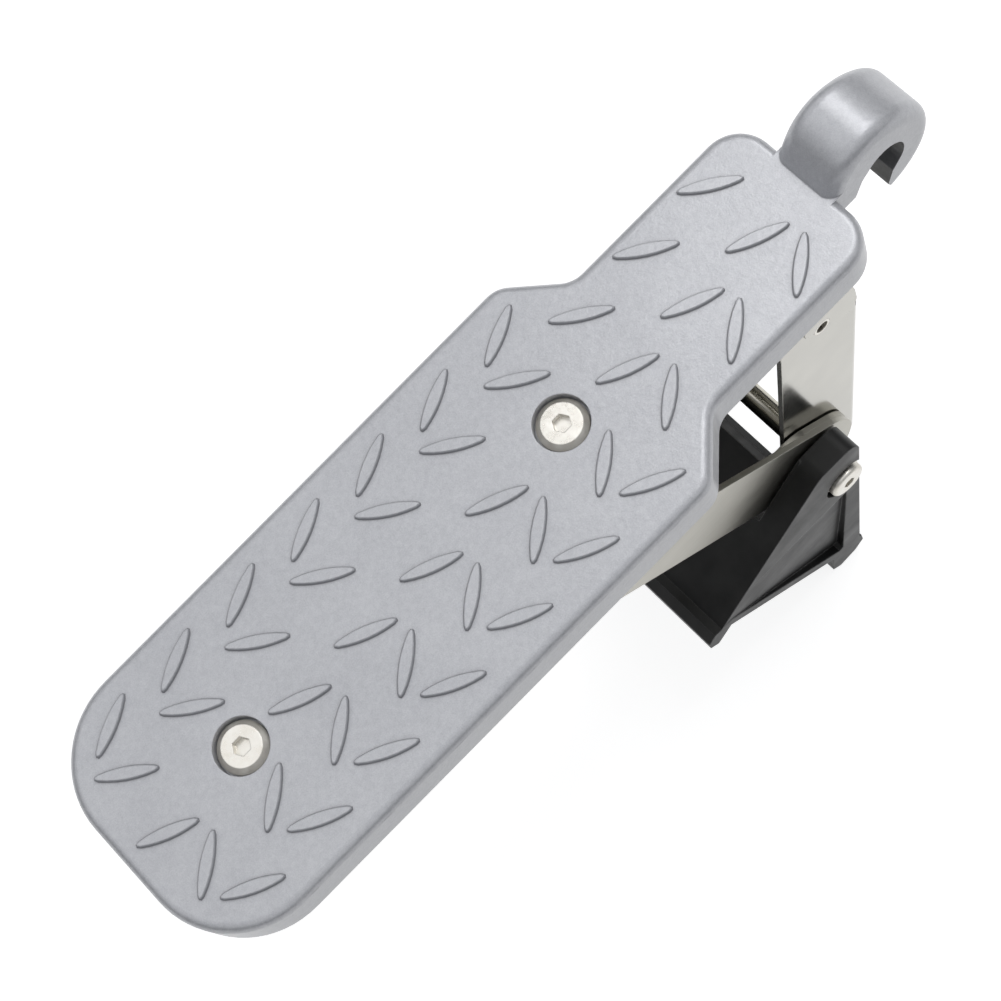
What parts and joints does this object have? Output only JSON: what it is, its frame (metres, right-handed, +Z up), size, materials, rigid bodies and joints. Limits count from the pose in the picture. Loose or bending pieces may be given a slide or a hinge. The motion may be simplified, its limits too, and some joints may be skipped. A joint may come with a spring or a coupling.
{
  "type": "car door latch step",
  "caption": "Folding foot step that hooks on a car door's latch striker, with a raised-oval metal tread, a folding steel leg and arm, and a black pivoting foot.",
  "frame": {"origin": "centre of the hook's round striker seat, midway across the hook", "axes": "+X from the tread towards the hook and the car, +Y across the tread along the striker seat's axis, +Z up, square to the tread's top face"},
  "size_m": [0.3096, 0.0888, 0.2079],
  "materials": {
    "cast": "silver powder coat, satin",
    "steel": "polished stainless sheet",
    "screw": "bright stainless fastener",
    "rubber": "matt black moulded rubber",
    "nylon": "natural nylon"
  },
  "bodies": {
    "frame": {"tread_plate": "cast", "rail": "steel", "tread_bolt_outer": "screw", "tread_bolt_inner": "screw", "rail_washer_outer": "screw", "rail_washer_inner": "screw", "rail_nut_outer": "screw", "rail_nut_inner": "screw", "hinge_pin": "screw", "hinge_tube": "steel"},
    "leg": {"leg": "steel", "pivot_sleeve": "steel", "leg_washers": "nylon"},
    "arm": {"arm_near": "steel", "arm_far": "steel", "arm_doubler_near": "steel", "arm_doubler_far": "steel", "arm_washers": "nylon", "slide_pin": "screw", "slide_tube": "steel", "slide_rollers": "nylon", "slide_spacers": "steel"},
    "foot": {"foot": "rubber", "foot_bolt": "screw", "foot_washers": "screw", "foot_nut": "screw"}
  },
  "joints": [
    {"name": "leg_fold", "type": "hinge", "parent": "frame", "child": "leg", "pos_m": [-0.0421, 0, -0.0241], "axis": [0, 1, 0], "range_deg": [0, 78.85]},
    {"name": "arm_fold", "type": "hinge", "parent": "leg", "child": "arm", "pos_m": [-0.0586, 0, -0.1078], "axis": [0, 1, 0], "range_deg": [-119.05, 0]},
    {"name": "foot_swing", "type": "hinge", "parent": "arm", "child": "foot", "pos_m": [-0.0586, 0, -0.1078], "axis": [0, -1, 0], "range_deg": [0, 35]}
  ],
  "couplings": [
    {"joint": "arm_fold", "follows": "leg_fold", "ratio": -1.5073}
  ]
}
